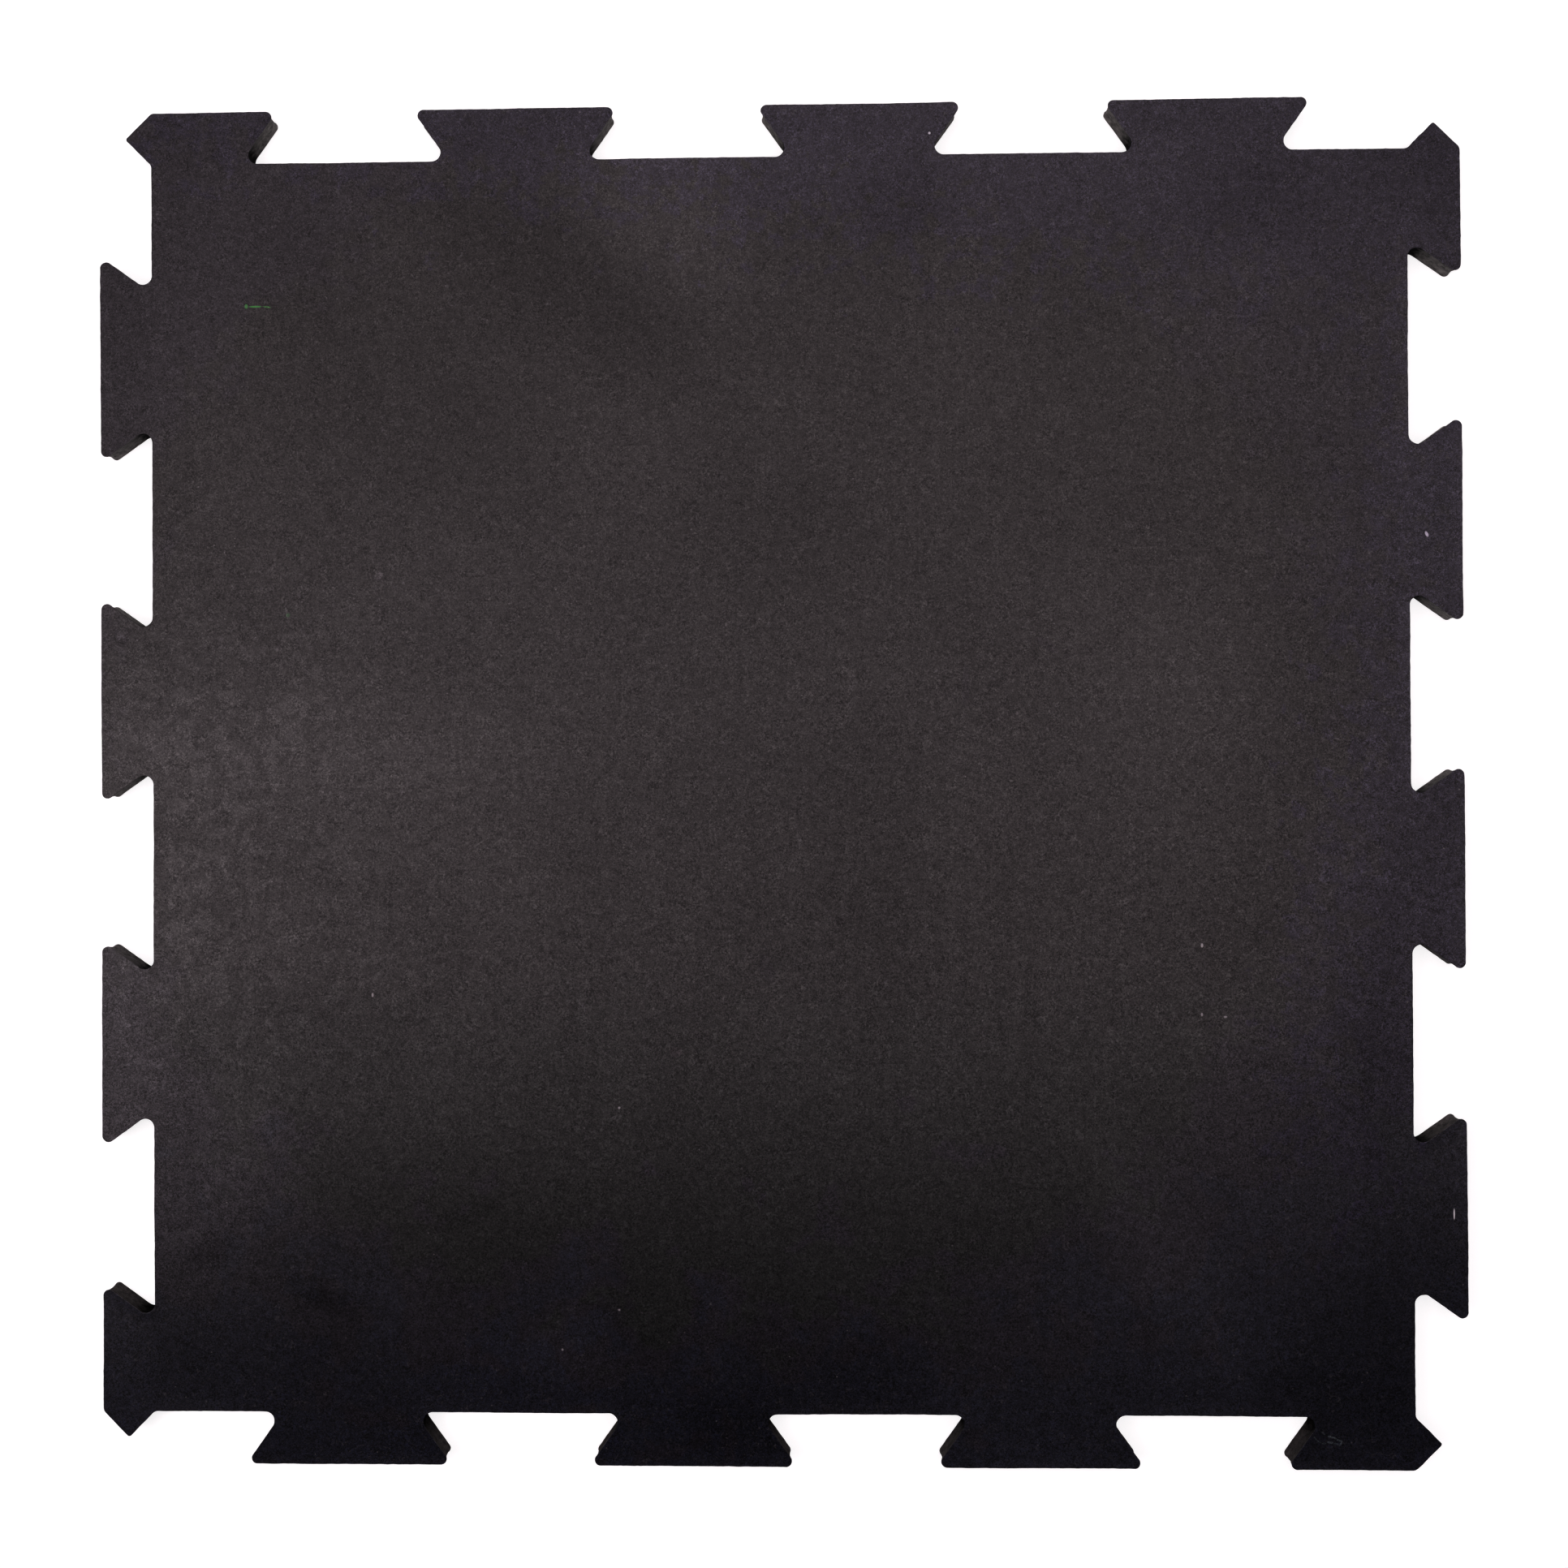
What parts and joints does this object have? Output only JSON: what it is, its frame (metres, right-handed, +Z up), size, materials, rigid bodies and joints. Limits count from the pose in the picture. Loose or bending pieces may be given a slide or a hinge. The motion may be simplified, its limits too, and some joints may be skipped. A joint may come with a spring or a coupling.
{
  "type": "interlocking floor mat",
  "caption": "Square black crumb rubber floor mat with dovetail tabs and sockets on every side that lock into matching mats to cover a floor.",
  "frame": {"origin": "centre of the laid square on the underside, on the floor", "axes": "+Z up out of the upper face; +X right and +Y away from the viewer, square to the sides"},
  "size_m": [1.04, 1.04, 0.02],
  "materials": {
    "black_rubber": "matt, finely granular crumb rubber, black with a faint warm grey bloom"
  },
  "bodies": {
    "root": {"rubber_mat": "black_rubber"}
  },
  "joints": []
}
